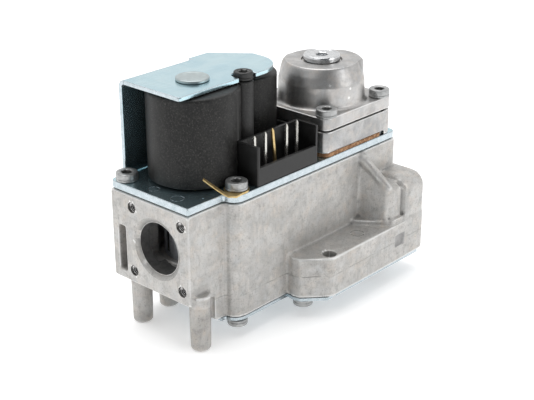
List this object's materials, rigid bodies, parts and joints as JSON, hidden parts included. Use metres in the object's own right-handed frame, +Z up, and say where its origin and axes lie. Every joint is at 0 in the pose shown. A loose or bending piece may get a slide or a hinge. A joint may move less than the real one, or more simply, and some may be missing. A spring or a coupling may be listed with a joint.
{
  "type": "gas valve",
  "caption": "Boiler gas control valve: die-cast body with flanged inlet and outlet, two solenoid coils on a plated lid, a plug-in connector and a servo pressure regulator.",
  "frame": {"origin": "middle of the bounding box's underside, where the legs stand", "axes": "+X along the body from the inlet flange to the outlet flange, +Y to the back, away from the mounting foot, +Z up towards the coils"},
  "size_m": [0.1082, 0.0574, 0.0898],
  "materials": {
    "die_cast_aluminium": "as cast, bead blasted",
    "zinc_plated_steel": "blue passivated zinc",
    "coil_moulding": "matt glass-filled moulding",
    "connector_moulding": "fine satin",
    "enamelled_wire": "enamelled copper",
    "core_steel": "turned",
    "brass": "dull",
    "steel": "turned",
    "turned_aluminium": "turned",
    "nitrile_rubber": "matt",
    "seam_gasket": "matt",
    "spring_wire": "drawn",
    "tinned_pin": "tinned",
    "zinc_screw": "zinc plated",
    "black_screw": "black oxide",
    "cork_gasket": "cork and rubber",
    "bright_plug": "turned and bright plated"
  },
  "bodies": {
    "valve": {"base_screw_1": "zinc_screw", "base_screw_2": "zinc_screw", "base_screw_3": "zinc_screw", "base_screw_4": "zinc_screw", "base_screw_5": "zinc_screw", "base_screw_6": "zinc_screw", "bottom_gasket": "seam_gasket", "bottom_plate": "zinc_plated_steel", "coil_bracket": "zinc_plated_steel", "coil_screw": "black_screw", "connector_housing": "connector_moulding", "connector_pin_1": "tinned_pin", "connector_pin_2": "tinned_pin", "connector_pin_3": "brass", "connector_pin_4": "tinned_pin", "connector_pin_5": "tinned_pin", "earth_tag": "brass", "inlet_strainer": "steel", "main_closing_spring": "spring_wire", "main_coil_bobbin": "connector_moulding", "main_coil_housing": "coil_moulding", "main_coil_winding": "enamelled_wire", "main_core": "core_steel", "main_diaphragm": "nitrile_rubber", "main_guide_tube": "brass", "plate_screw_1": "zinc_screw", "plate_screw_2": "zinc_screw", "regulator_base": "die_cast_aluminium", "regulator_cover": "die_cast_aluminium", "regulator_diaphragm": "nitrile_rubber", "regulator_gasket": "cork_gasket", "regulator_screw_1": "zinc_screw", "regulator_screw_2": "zinc_screw", "regulator_screw_3": "zinc_screw", "regulator_screw_4": "zinc_screw", "regulator_spring": "spring_wire", "second_valve_spring": "spring_wire", "servo_coil_housing": "coil_moulding", "servo_coil_winding": "enamelled_wire", "servo_core": "steel", "servo_guide_tube": "brass", "servo_spring": "spring_wire", "top_gasket": "seam_gasket", "top_plate": "zinc_plated_steel", "valve_body": "die_cast_aluminium"},
    "main_valve": {"main_armature": "steel", "main_valve_disc": "turned_aluminium", "main_valve_seal": "nitrile_rubber"},
    "servo_valve": {"servo_armature": "steel", "servo_seal": "nitrile_rubber"},
    "second_valve": {"second_valve_stem": "turned_aluminium", "second_valve_disc": "turned_aluminium", "second_valve_seal": "nitrile_rubber"},
    "regulator_plate": {"diaphragm_plate": "turned_aluminium"},
    "adjuster_seat": {"spring_seat": "steel"},
    "adjuster": {"adjusting_screw": "brass"},
    "cap_ring": {"cap_seal": "nitrile_rubber"},
    "cap": {"cap_plug": "bright_plug"}
  },
  "joints": [
    {"name": "main_valve_lift", "type": "slide", "parent": "valve", "child": "main_valve", "axis": [0, 0, 1], "range_m": [0, 0.0027], "stiffness_N_per_m": 400, "springref_m": -0.004, "deforming": ["main_closing_spring"]},
    {"name": "servo_valve_lift", "type": "slide", "parent": "valve", "child": "servo_valve", "axis": [0, 0, 1], "range_m": [0, 0.0014], "stiffness_N_per_m": 150, "springref_m": -0.003, "deforming": ["servo_spring"]},
    {"name": "second_valve_lift", "type": "slide", "parent": "valve", "child": "second_valve", "axis": [0, 0, 1], "range_m": [0, 0.004], "stiffness_N_per_m": 150, "springref_m": -0.004, "deforming": ["second_valve_spring"]},
    {"name": "regulator_lift", "type": "slide", "parent": "valve", "child": "regulator_plate", "axis": [0, 0, 1], "range_m": [0, 0.0012], "stiffness_N_per_m": 300, "springref_m": -0.002, "deforming": ["regulator_spring"]},
    {"name": "adjuster_travel", "type": "slide", "parent": "valve", "child": "adjuster_seat", "axis": [0, 0, 1], "range_m": [-0.002, 0.0008]},
    {"name": "adjuster_turn", "type": "hinge", "parent": "adjuster_seat", "child": "adjuster", "pos_m": [0.0288, 0.0034, 0.0775], "axis": [0, 0, 1], "range_deg": [-721, 289]},
    {"name": "cap_travel", "type": "slide", "parent": "valve", "child": "cap_ring", "axis": [0, 0, 1], "range_m": [0, 0.003]},
    {"name": "cap_turn", "type": "hinge", "parent": "cap_ring", "child": "cap", "pos_m": [0.0288, 0.0034, 0.0835], "axis": [0, 0, 1], "range_deg": [0, 1081]}
  ],
  "couplings": [
    {"joint": "adjuster_turn", "follows": "adjuster_travel", "rad_per_m": 6283.2},
    {"joint": "cap_turn", "follows": "cap_travel", "rad_per_m": 6283.2}
  ]
}
